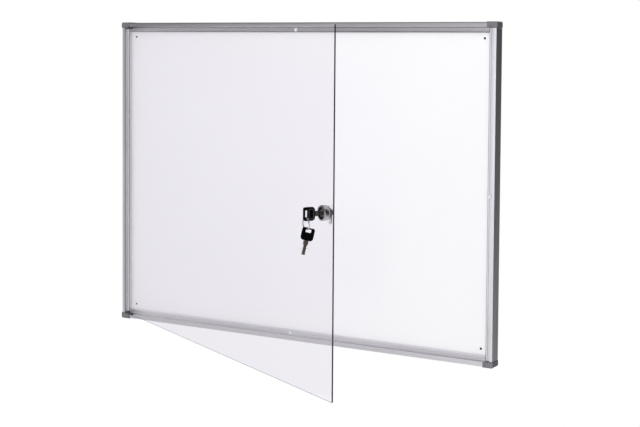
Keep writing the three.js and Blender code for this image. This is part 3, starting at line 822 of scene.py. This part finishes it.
@dataclass
class Case:
    """The rails, corner caps, panel and buffers, which hang on the wall."""

    width: float = 953.0
    height: float = 700.0
    depth: float = 27.0
    side: Profile = Profile(7.6, 0.4, 0.6, 0.12, -0.05, 0.9)
    end: Profile = Profile(10.2, 1.1, 1.3, -0.25, 0.28, 1.2)
    ledge: float = 11.0
    ledge_level: float = 20.8
    panel_level: float = 11.0
    panel_thickness: float = 0.7
    panel_notch: float = 3.0
    hole_radius: float = 2.5
    hole_inset: float = 33.0
    cap_height: float = 12.0
    seat: float = 0.3
    wall: float = 1.4
    foot: Pair = (16.0, 1.2)
    back_round: float = 0.5
    foot_round: float = 0.3
    hollow_round: float = 0.4
    crease: float = 0.15
    paint_split_round: float = 0.05
    # rounding at the point where the lip's inner wall is split between painted light below and painted shade
    # above
    lip_round: float = 0.6
    outer_round: float = 2.2
    lip_slope: float = 0.035
    # level of the split on the lip's inner wall: painted light below, painted shade above
    paint_split_level: float = 24.0
    line_inset: float = 6.5
    line_half: float = 0.55
    line_depth: float = 0.35
    side_lines: Pair = (18.1, 8.9)
    side_line_half: float = 0.75
    side_line_depth: float = 0.45
    strike_low: Pair = (-20.0, 15.2)
    strike_high: Pair = (10.0, 19.0)
    strike_round: float = 1.2
    strike_reach: float = 4.0
    pad_radius: float = 4.0
    pad_dimple: float = 1.6
    pad_shift: float = 0.6
    pad_places: Triple = (2.5, -6.5, -3.0)

    def section(self, front: Profile) -> list[Array]:
        """Draws a rail's outline and chambers, as distance in from its outer face and level.

        Args:
            front: The profile of the rail's front.

        Returns:
            The outline anticlockwise and two chambers clockwise.
        """
        lip, inner = front.lip, self.panel_level + self.seat
        width, floor, groove = lip + self.ledge, inner + self.wall, lip + front.groove_width
        middle, level, low = lip + self.line_inset, self.ledge_level, self.ledge_level - front.groove_depth
        reach, sole = self.foot
        crease, wall, hollow = self.crease, self.wall, self.hollow_round
        outer = [
            (0, 0, self.back_round),
            (reach, 0, self.foot_round),
            (reach, sole, self.foot_round),
            (wall, sole, hollow),
            (wall, inner, hollow),
            (width, inner, self.foot_round),
            (width, level + front.ledge_rise, front.ledge_round),
            (middle + self.line_half, level - front.ledge_rise, crease),
            (middle, level - self.line_depth, crease),
            (middle - self.line_half, level - front.strip_rise, crease),
            (groove, level + front.strip_rise, crease),
            (groove, low, crease),
            (lip, low, crease),
            # this point splits the lip's inner wall for painting: painted light below, painted shade above
            (lip, self.paint_split_level, self.paint_split_round),
            (lip, self.depth, self.lip_round),
            (0, self.depth - lip * self.lip_slope, self.outer_round),
        ]
        half, cut = self.side_line_half, self.side_line_depth
        for line in self.side_lines:
            outer += [(0, line + half, crease), (cut, line, crease), (0, line - half, crease)]
        chambers = [
            box_loop((wall, floor), (width - wall, level - wall), hollow, 2),
            box_loop((wall, level), (lip - wall, self.depth - wall), hollow, 2),
        ]
        return [softened(outer, 4)] + [loop[::-1] for loop in chambers]

    def rail(
        self, name: str, front: Profile, length: float, place: Array, *finishes: Finish
    ) -> Piece:
        """One rail: its section carried along its length, with the ends closed.

        Args:
            name: The piece's name.
            front: The profile of its front.
            length: Its length.
            place: From the section's axes to the board's.
            finishes: Of the rail, the groove at its lip's foot, the wall above that, the top of the
            wall and the ledge's edge, some of which carry painted light and painted shade.

        Returns:
            The rail.
        """
        shell = plate(self.section(front), -length / 2, length / 2, 0.08, 1)
        walls = shell.faces[0]
        across, level = shell.points[walls].mean(axis=1)[:, :2].T
        groove = (across > front.lip - SLACK) & (across < front.lip + front.groove_width + SLACK)
        groove &= (level > self.ledge_level - front.groove_depth - 0.1) & (level < self.ledge_level - 0.3)
        wall = (np.abs(across - front.lip) < 0.02) & (level > self.ledge_level)
        edge = (across > front.lip + self.ledge - 1.1) & (np.abs(level - self.ledge_level + 0.5) < 1.1)
        # Faces that can carry painted shade and painted light: the groove, the lip's inner wall below and
        # above the split, and the ledge's edge.
        parts = [groove, wall & (level < self.paint_split_level), wall & (level > self.paint_split_level), edge]
        plain = ~np.logical_or.reduce(parts)
        shell.faces[:1] = [walls[part] for part in (plain, *parts)]
        shell.marks[:1] = range(len(parts) + 1)
        return finished(name, shell.placed(place), *finishes)

    def rails(self) -> None:
        """The four rails, with the slot for the lock's cam in the right one."""
        half_x, half_z = self.width / 2, self.height / 2
        side = self.height - 2 * (self.cap_height + self.seat)
        end = self.width - 2 * (self.side.lip + self.ledge + self.seat)
        left = axes((-half_x, 0, 0), (1, 0, 0), (0, -1, 0), (0, 0, 1))
        right = axes((half_x, 0, 0), (-1, 0, 0), (0, -1, 0), (0, 0, 1))
        top = axes((0, 0, half_z), (0, 0, -1), (0, -1, 0), (1, 0, 0))
        bottom = axes((0, 0, -half_z), (0, 0, 1), (0, -1, 0), (1, 0, 0))
        # Side rails: painted light on the lower inner wall of the lip, painted shade along its top. Top rail:
        # painted shade in the groove at the lip's foot and along the ledge's edge.
        upright = (RAIL_UPRIGHT, RAIL_UPRIGHT, RAIL_PAINTED_LIGHT, DARK_PAINTED_SHADE, RAIL_UPRIGHT)
        upper = (RAIL_ACROSS, DARK_PAINTED_SHADE, RAIL_ACROSS, RAIL_ACROSS, DARK_PAINTED_SHADE)
        pieces = {
            "left": self.rail("rail_left", self.side, side, left, *upright),
            "right": self.rail("rail_right", self.side, side, right, *upright),
            "top": self.rail("rail_top", self.end, end, top, *upper),
            "bottom": self.rail("rail_bottom", self.end, end, bottom, *[RAIL_ACROSS] * 5),
        }
        loop = box_loop(self.strike_low, self.strike_high, self.strike_round)
        slot = plate([loop], -self.strike_reach, self.strike_reach, 0.05, 1)
        inner = axes((half_x - self.side.lip - self.ledge, 0, 0), (0, 0, 1), (0, -1, 0), (1, 0, 0))
        strike = finished("strike", slot.placed(inner), RAIL_UPRIGHT)
        combined(pieces["right"], strike, "DIFFERENCE")
        for side_name, piece in pieces.items():
            fitted(piece, Body.CASE, f"{side_name}_rail")

    def caps(self) -> None:
        """The corner caps, their screws and the keys inside the corners."""
        for corner in ("top_left", "top_right", "bottom_left", "bottom_right"):
            cap, screw = f"corner_cap_{corner}", f"cap_screw_{corner}"
            refined(cap, f"cap_{corner}", Body.CASE, CAP_PLASTIC, 0.35, 3)
            refined(screw, f"screw_{corner}", Body.CASE, ZINC, 0.12)
            kept(f"corner_key_{corner}", ZINC_SHEET)

    def panel(self) -> None:
        """The white sheet with its screw holes, over the core and the rear sheet."""
        x, z = self.width / 2, self.height / 2
        notch_x = x - self.side.lip - self.ledge - 2 * self.seat
        notch_z = z - self.cap_height - 2 * self.seat
        notch = self.panel_notch
        quarter = np.array([(x - notch, notch_z), (notch_x, notch_z), (notch_x, z - notch)])
        order = [(1, 1, 1), (-1, 1, -1), (-1, -1, 1), (1, -1, -1)]
        outline = np.concatenate([(quarter * (sx, sz))[::step] for sx, sz, step in order])
        x, z = x - self.hole_inset, z - self.hole_inset
        holes = [circle(self.hole_radius, 40, (sx * x, sz * z))[::-1] for sx, sz, _ in order]
        sheet = plate([outline, *holes], self.panel_level - self.panel_thickness, self.panel_level, 0.15, 2)
        white = finished("panel_sheet", sheet.placed(FRONT), WHITE_LACQUER)
        fitted(white, Body.CASE, "whiteboard_sheet")
        refined("rear_sheet", "panel_rear", Body.CASE, ZINC_SHEET, 0.25)
        # The core is darkened almost to black: painted shade in the screw holes.
        kept("core_board", CORE_SHADED)

    def buffers(self) -> None:
        """Soft pads on the ledges, on which the door closes."""
        low, high = self.ledge_level + self.seat, self.depth - 4 - self.seat
        corners = [(0, low, 0), (self.pad_radius, low, 0.15), (self.pad_radius, high, 0.9)]
        corners += [(self.pad_dimple, high, 0.5), (0, high - 0.15, 0)]
        pad = turned(corners, 48)
        inward = self.ledge / 2 + self.pad_shift
        side_x = self.width / 2 - self.side.lip - inward
        end_z = self.height / 2 - self.end.lip - inward
        top, bottom, right = self.pad_places
        for side, x, z in (("top", top, end_z), ("bottom", bottom, -end_z), ("right", side_x, right)):
            piece = finished(f"pad_{side}", pad.placed(shifted(x, 0, z)), WHITE_RUBBER)
            fitted(piece, Body.CASE, f"buffer_{side}")

    def build(self) -> None:
        """Makes the whole case."""
        self.rails()
        self.caps()
        self.panel()
        self.buffers()
        for end in ("top", "bottom"):
            kept(f"hinge_washer_{end}", WHITE_RUBBER)


@dataclass
class Door:
    """The clear sheet between its two hinge shoes."""

    open_angle: float = 28.3
    hinge: Pair = (-464.9, -24.5)
    reach: float = 932.6
    half_height: float = 337.7
    start: float = 19.0
    thickness: float = 3.0
    lock_at: Pair = (912.6, 1.7)
    lock_hole: float = 9.2
    free_round: float = 1.2
    hinge_round: float = 0.4

    def place(self) -> Array:
        """From the door's own axes, x to the free edge and the sheet's middle at y = 0."""
        return shifted(*self.hinge, 0) @ about_z(-math.radians(self.open_angle))

    def sheet(self) -> None:
        """The sheet, with polished edges and the hole for the lock."""
        low, top = self.start, self.half_height
        corners = [(self.reach, -top, self.free_round), (self.reach, top, self.free_round)]
        corners += [(low, top, self.hinge_round), (low, -top, self.hinge_round)]
        outline = softened(corners, 4)
        hole = circle(self.lock_hole, 64, self.lock_at)[::-1]
        half = self.thickness / 2
        shell = plate([outline, hole], -half, half, 0.22, 2, side=1)
        # Upright edges take the darker painted tint, level edges the paler one.
        centre = shell.points[shell.faces[0]].mean(axis=1)
        upright = (centre[:, 0] > self.reach - 1) | (centre[:, 0] < low + 1)
        walls = shell.faces[0]
        shell.faces[:1], shell.marks[:1] = [walls[upright], walls[~upright]], [1, 2]
        piece = finished("door_pane", shell.placed(self.place() @ FRONT), CLEAR, EDGE_SHADE_DARK, EDGE_SHADE_PALE)
        fitted(piece, Body.DOOR, "door_sheet")

    def hinges(self) -> None:
        """The shoes that hold the sheet, and their pins."""
        for end in ("top", "bottom"):
            refined(f"hinge_shoe_{end}", f"shoe_{end}", Body.DOOR, SHOE_PLASTIC, 0.25, 3)
            kept(f"hinge_pin_{end}", ZINC)

    def build(self) -> None:
        """Makes the door without its lock."""
        self.sheet()
        self.hinges()


@dataclass
class CamLock:
    """The lock through the door sheet, with its plug, cam and wafers."""

    door: Door
    radius: float = 14.2
    length: float = 13.0
    chamfer: float = 1.1
    recess: float = 5.0
    recess_radius: float = 11.2
    bore: float = 7.5
    step: Triple = (8.6, 8.9, 0.5)
    neck: Pair = (11.4, 3.2)
    flange: Triple = (12.5, 1.0, 2.6)
    spigot: float = 8.9
    back: float = -3.5
    threads: Triple = (-3.3, -1.2, 0.55)
    thread_depth: float = 0.25

    def place(self) -> Array:
        """From the lock's own axes: y along its axis, zero in the sheet's middle."""
        x, z = self.door.lock_at
        return self.door.place() @ shifted(x, 0, z)

    def body(self) -> None:
        """The turned body: a threaded spigot, a flange, a neck and a recessed face."""
        front = self.door.thickness / 2
        face = front + self.length
        floor = face - self.recess
        inner, outer, rise = self.step
        neck, neck_end = self.neck
        flange, flange_start, flange_end = self.flange
        threads = np.arange(*self.threads)[::-1]
        ridges = [(self.spigot - self.thread_depth * (i % 2), out, 0.05) for i, out in enumerate(threads)]
        corners = [
            (self.bore, self.back, 0.1),
            (self.bore, floor, 0.15),
            (inner, floor, 0.1),
            (outer, floor + rise, 0.1),
            (self.recess_radius - 0.5, floor + rise, 0.3),
            (self.recess_radius, floor + 1.6, 0.3),
            (self.recess_radius, face, 0.35),
            (self.radius - self.chamfer, face, 0.3),
            (self.radius, face - self.chamfer, 0.4),
            (self.radius, front + neck_end, 0.4),
            (neck, front + neck_end, 0.15),
            (neck, front + flange_end, 0.15),
            (flange, front + flange_end, 0.3),
            (flange, front + flange_start, 0.2),
            (self.spigot, front + flange_start, 0.15),
            *ridges,
            (self.spigot, self.back, 0.1),
        ]
        shell = turned(corners, 128)
        # Faces inside the recess take the darker chrome: painted shade.
        walls = shell.faces[0]
        centre = shell.points[walls].mean(axis=1)
        recess = np.hypot(centre[:, 0], centre[:, 2]) < self.recess_radius + SLACK
        recess &= centre[:, 1] < -floor
        shell.faces[:1], shell.marks[:1] = [walls[~recess], walls[recess]], [0, 1]
        piece = finished("lock_case", shell.placed(self.place()), CHROME, RECESS_CHROME_SHADED)
        fitted(piece, Body.DOOR, "lock_body")

    def inside(self) -> None:
        """The plug, the parts behind the sheet and the wafers."""
        # The plug takes a darker chrome: painted shade inside the recess.
        for node, name, body, slot, finish, width in (
            ("lock_nut", "nut", Body.DOOR, "zinc_plate", ZINC, 0.2),
            ("lock_plug", "plug", Body.PLUG, "satin_chrome", PLUG_CHROME_SHADED, 0.12),
            ("lock_cam", "cam", Body.PLUG, "zinc_plate", ZINC, 0.25),
            ("cam_screw", "cam_screw_head", Body.PLUG, "zinc_plate", ZINC, 0.2),
        ):
            refined(node, name, body, finish, width)
        kept("lock_gasket", BLACK_RUBBER)
        for index in range(1, 5):
            kept(f"wafer_{index}", WAFER_BRASS)

    def build(self) -> None:
        """Makes the lock."""
        self.body()
        self.inside()


@dataclass
class KeyBunch:
    """The key in the lock, the split ring and the spare key."""

    lock: CamLock
    length: float = 48.6
    inserted: float = 12.4
    head: float = 23.0
    corner: float = 3.8
    far_round: float = 4.4
    near_round: float = 1.8
    width: float = 24.6
    frame: Pair = (9.6, 20.4)
    frame_half: float = 9.3
    frame_bar: float = 1.4
    frame_rise: float = 0.4
    frame_round: float = 1.6
    thickness: float = 4.6
    slot: Pair = (2.8, 8.4)
    slot_length: float = 13.5
    slot_round: float = 0.9
    ring_radius: float = 11.0
    wire: float = 0.6
    pitch: float = 1.7
    turns: int = 2
    spare_tilt: float = 14.8
    seat: float = 0.3
    steps: int = 80

    def key_place(self) -> Array:
        """From the key's own axes, y from the head's far end to the tip, in the lock."""
        face = self.lock.door.thickness / 2 + self.lock.length
        return self.lock.place() @ shifted(0, -(face - self.inserted + self.length), 0)

    def ring_place(self) -> Array:
        """Hangs the ring in the key's slot, with y along the ring's axis.

        Returns:
            The matrix from the ring's own axes.
        """
        half = self.thickness / 2
        drop = math.sqrt((self.ring_radius - self.wire) ** 2 - half**2)
        middle = sum(self.slot) / 2
        return self.key_place() @ shifted(0, middle, -self.slot_length / 2 + self.seat - drop)

    def spare_place(self) -> Array:
        """Hangs the spare key on the ring by one end of its slot.

        Returns:
            The matrix from the spare key's own axes.
        """
        half, tilt = self.thickness / 2, math.radians(self.spare_tilt)
        bundle = self.pitch / 2
        rise = self.ring_radius - math.sqrt(self.ring_radius**2 - half**2)
        grip = self.wire + self.seat
        hang = shifted(0, self.pitch / 4, -self.ring_radius) @ about_x(-tilt - math.pi / 2)
        along = -(self.slot[0] + grip + bundle * math.sin(tilt) + rise)
        across = self.slot_length / 2 - grip - bundle * math.cos(tilt)
        return self.ring_place() @ hang @ shifted(0, along, across)

    def key_head(self, name: str, place: Array, frame_finish: Finish) -> Piece:
        """Makes a moulded head with a slot for the ring and a raised frame on both faces.

        Args:
            name: The piece's name.
            place: From the key's axes to the board's.
            frame_finish: The finish of the raised frame.

        Returns:
            The head.
        """
        z, far, cut = self.width / 2, self.head, self.corner
        corners = [(0, -z, self.far_round), (far - cut, -z, self.near_round)]
        corners += [(far, -z + cut, self.near_round)]
        outline = corners + [(y, -across, r) for y, across, r in corners[::-1]]
        (near, end), reach = self.slot, self.slot_length / 2
        slot = box_loop((near, -reach), (end, reach), self.slot_round)
        half = self.thickness / 2
        body = plate([softened(outline, 6), slot[::-1]], -half, half, 0.6, 4)
        (low, high), side, bar = self.frame, self.frame_half, self.frame_bar
        rim = box_loop((low, -side), (high, side), self.frame_round)
        well = box_loop((low + bar, -side + bar), (high - bar, side - bar), self.slot_round)
        half += self.frame_rise
        raised = plate([rim, well[::-1]], -half, half, 0.25, 2)
        carry = place @ axes((0, 0, 0), (0, 1, 0), (0, 0, 1), (1, 0, 0))
        piece = finished(name, body.placed(carry), BLACK_PLASTIC)
        combined(piece, finished("raised", raised.placed(carry), frame_finish), "UNION")
        return piece

    def ring(self) -> None:
        """The split ring: a round wire wound in turns, with rounded ends.

        Its middle is (R cos a, p (a / 2 pi - n / 2), R sin a) for a over n turns, and the wire's
        skin lies at w (cos b, sin b) from it in the plane of the radius and the ring's axis,
        where w falls to zero over the last half millimetre at either end.
        """
        count = self.steps * self.turns
        angle = np.linspace(0, 2 * np.pi * self.turns, count + 1)[:, None]
        round_wire = np.linspace(0, 2 * np.pi, 12, endpoint=False)[None, :]
        from_end = np.minimum(angle, angle[-1:] - angle) * self.ring_radius / self.wire
        wire = self.wire * np.sqrt(np.clip(1 - (1 - np.clip(from_end, 0, 1)) ** 2, 0, 1))
        radius = self.ring_radius + wire * np.cos(round_wire)
        along = self.pitch * (angle / (2 * np.pi) - self.turns / 2) + wire * np.sin(round_wire)
        rings = np.stack([radius * np.cos(angle), along, radius * np.sin(angle)], -1)
        piece = finished("split_ring", lofted(rings).placed(self.ring_place()), SPRING_STEEL)
        fitted(piece, Body.RING, "key_ring")

    def build(self) -> None:
        """Makes both keys and the ring."""
        # The key in the lock gets a grey frame, a painted highlight; the spare's frame stays black.
        for prefix, body, place, frame_finish in (
            ("key", Body.KEY, self.key_place(), FRAME_HIGHLIGHT),
            ("spare_key", Body.SPARE, self.spare_place(), BLACK_PLASTIC),
        ):
            head = self.key_head(f"{prefix}_grip", place, frame_finish)
            fitted(head, body, f"{prefix}_head")
            refined(f"{prefix}_blade", f"{prefix}_bit", body, NICKEL, 0.12)
        self.ring()


# Studio


@dataclass(frozen=True)
class Floor(Finish):
    """A pale floor that glows white to the camera and less to glass and gloss, and keeps the shadow."""

    pale: Colour = (0.93, 0.93, 0.94)
    deep: Colour = (0.9, 0.9, 0.91)
    white: float = 0.68
    gloss_share: float = 0.35
    glass_share: float = 0.9

    def surface(self, graph: Graph) -> Value:
        """Builds a dull, faintly uneven surface with a glow for the rays that show it.

        Args:
            graph: The material's nodes.

        Returns:
            The shader's output.
        """
        through = self.glass_share * graph.ray("Is Transmission Ray")
        seen = through.maths("MAXIMUM", graph.ray("Is Camera Ray"))
        seen = seen.maths("MAXIMUM", self.gloss_share * graph.ray("Is Glossy Ray"))
        sockets = {
            "Base Color": graph.blend(graph.noise(3.0), self.pale, self.deep),
            "Roughness": 0.9,
            "Emission Color": graph.blend(seen, (0.0, 0.0, 0.0), (1.0, 1.0, 1.0)),
            "Emission Strength": self.white,
        }
        return graph.add("ShaderNodeBsdfPrincipled", {}, sockets)


def direction(azimuth: float, elevation: float) -> Vector:
    """Towards a place round the board, in degrees: azimuth 0 is in front of it and 90 to its right."""
    a, e = math.radians(azimuth), math.radians(elevation)
    return Vector((math.sin(a) * math.cos(e), -math.cos(a) * math.cos(e), math.sin(e)))


@dataclass(frozen=True)
class Glow:
    """A soft patch in the surroundings: strength times the cosine from its middle, to a power."""

    azimuth: float
    elevation: float
    power: float
    strength: float

    def light(self, graph: Graph, ray: Value, rest: Any) -> Value:
        """Adds the patch to what else is seen in the direction of a ray.

        Args:
            graph: The world's nodes.
            ray: The ray's direction.
            rest: The light from the other patches.

        Returns:
            The light with the patch.
        """
        sockets = {0: ray, 1: tuple(direction(self.azimuth, self.elevation))}
        facing = graph.add("ShaderNodeVectorMath", {"operation": "DOT_PRODUCT"}, sockets, "Value")
        return self.strength * facing.maths("MAXIMUM", 0.0) ** self.power + rest


@dataclass
class Studio:
    """The floor, the lights and the camera, in metres.

    Metal sees the shine over the dim level, diffuse surfaces the soft light over the even level,
    and glass the through colour in place of the white background.
    """

    floor_height: float = -1.2
    floor_half: float = 2.4
    floor_lines: int = 25
    dim: float = 0.02
    through: Colour = (0.924, 0.913, 0.95)
    shine: tuple[Glow, ...] = (
        Glow(-10.0, 3.0, 40.0, 1.5),
        Glow(0.0, 3.0, 40.0, 0.75),
        Glow(-60.0, 3.0, 40.0, 0.15),
        Glow(-70.0, 0.0, 40.0, 0.2),
        Glow(-98.0, -5.0, 40.0, 0.25),
        Glow(-60.0, -20.0, 8.0, 0.55),
        Glow(-50.0, -22.0, 40.0, 0.57),
        Glow(-30.0, -30.0, 40.0, 0.68),
        Glow(-10.0, -22.0, 40.0, 0.62),
        Glow(0.0, -20.0, 8.0, 0.6),
        Glow(120.0, -30.0, 8.0, 0.2),
        Glow(135.0, -50.0, 8.0, 0.64),
        Glow(150.0, -50.0, 8.0, 0.71),
        Glow(-165.0, 42.0, 7.0, 0.9),
        Glow(20.0, 62.0, 8.0, 0.7),
    )
    even: float = 0.12
    soft: tuple[Glow, ...] = (Glow(0.0, 5.0, 1.0, 1.08),)
    lamp_azimuth: float = 24.0
    lamp_elevation: float = 12.0
    lamp_distance: float = 3.4
    lamp_size: float = 0.9
    lamp_energy: float = 29.0
    image: tuple[int, int] = (640, 427)
    sensor: float = 36.0
    focal_pixels: float = 1343.21
    principal_row: float = 110.0
    camera_at: Triple = (1.5399, -2.5228, 0.3005)
    azimuth: float = 30.549
    elevation: float = 2.76
    roll: float = 0.415
    far: float = 50.0

    def world(self) -> None:
        """White to the camera, a little less through glass, and patches of light to surfaces."""
        world = bpy.data.worlds.new("studio")
        bpy.context.scene.world = world
        world.use_nodes = True
        world.cycles.sampling_method = "NONE"
        graph = Graph(world.node_tree)
        ray = graph.add("ShaderNodeTexCoord", {}, {}, "Generated")
        shown: Any = self.dim
        for glow in self.shine:
            shown = glow.light(graph, ray, shown)
        even: Any = self.even
        for glow in self.soft:
            even = glow.light(graph, ray, even)
        lighting = graph.ray("Diffuse Depth").maths("MINIMUM", 1.0)
        glass = graph.ray("Is Transmission Ray")
        glossy = graph.ray("Is Glossy Ray") * (1 - glass)
        strength = 1 + glossy * (shown - 1) * (1 - lighting) + lighting * (even - 1)
        colour = graph.blend(glass * (1 - lighting), (1, 1, 1), self.through)
        shade = graph.add("ShaderNodeBackground", {}, {"Color": colour, "Strength": strength})
        graph.put("ShaderNodeOutputWorld", {}, {"Surface": shade})

    def floor(self) -> None:
        """A wide level grid under the board."""
        line = np.linspace(-self.floor_half, self.floor_half, self.floor_lines) / MM
        x, y = np.meshgrid(line, line, indexing="ij")
        quads = lofted(np.stack([x, y, np.full_like(x, self.floor_height / MM)], -1))
        cells = quads.faces[0].reshape(-1, self.floor_lines, 4)[:, :-1].reshape(-1, 4)
        piece = finished("floor", Shell(quads.points, [cells], [0]), Floor("floor"))
        piece.active_material.cycles.emission_sampling = "NONE"

    def lamp(self) -> None:
        """A square soft box aimed at the board, which gloss and glass don't show."""
        data = bpy.data.lights.new("key_light", "AREA")
        data.size, data.energy = self.lamp_size, self.lamp_energy
        lamp = linked("key_light", data)
        towards = direction(self.lamp_azimuth, self.lamp_elevation)
        lamp.location = towards * self.lamp_distance
        lamp.rotation_euler = towards.to_track_quat("Z", "Y").to_euler()
        lamp.visible_glossy = False
        lamp.visible_camera = False
        lamp.visible_transmission = False

    def camera(self) -> None:
        """The camera of the photograph."""
        data = bpy.data.cameras.new("camera")
        camera = linked("camera", data)
        bpy.context.scene.camera = camera
        width, height = self.image
        data.sensor_width = self.sensor
        data.lens = self.focal_pixels / width * self.sensor
        data.shift_y = (self.principal_row - height / 2) / width
        data.clip_end = self.far
        a, turn = math.radians(self.azimuth), math.radians(self.roll)
        back = direction(self.azimuth, self.elevation)
        right = Vector((math.cos(a), math.sin(a), 0.0))
        up = back.cross(right)
        first = right * math.cos(turn) + up * math.sin(turn)
        second = up * math.cos(turn) - right * math.sin(turn)
        rows = [[first[i], second[i], back[i], self.camera_at[i]] for i in range(3)]
        camera.matrix_world = Matrix([*rows, [0, 0, 0, 1]])

    def build(self) -> None:
        """Makes the studio."""
        self.world()
        self.floor()
        self.lamp()
        self.camera()
        bpy.context.scene.view_settings.view_transform = "Standard"


def main() -> None:
    """Builds the studio and then each sub-assembly in order."""
    logging.basicConfig(level=logging.INFO, format="%(message)s")
    Studio().build()
    Case().build()
    door = Door()
    door.build()
    lock = CamLock(door)
    lock.build()
    KeyBunch(lock).build()


if __name__ == "__main__":
    main()
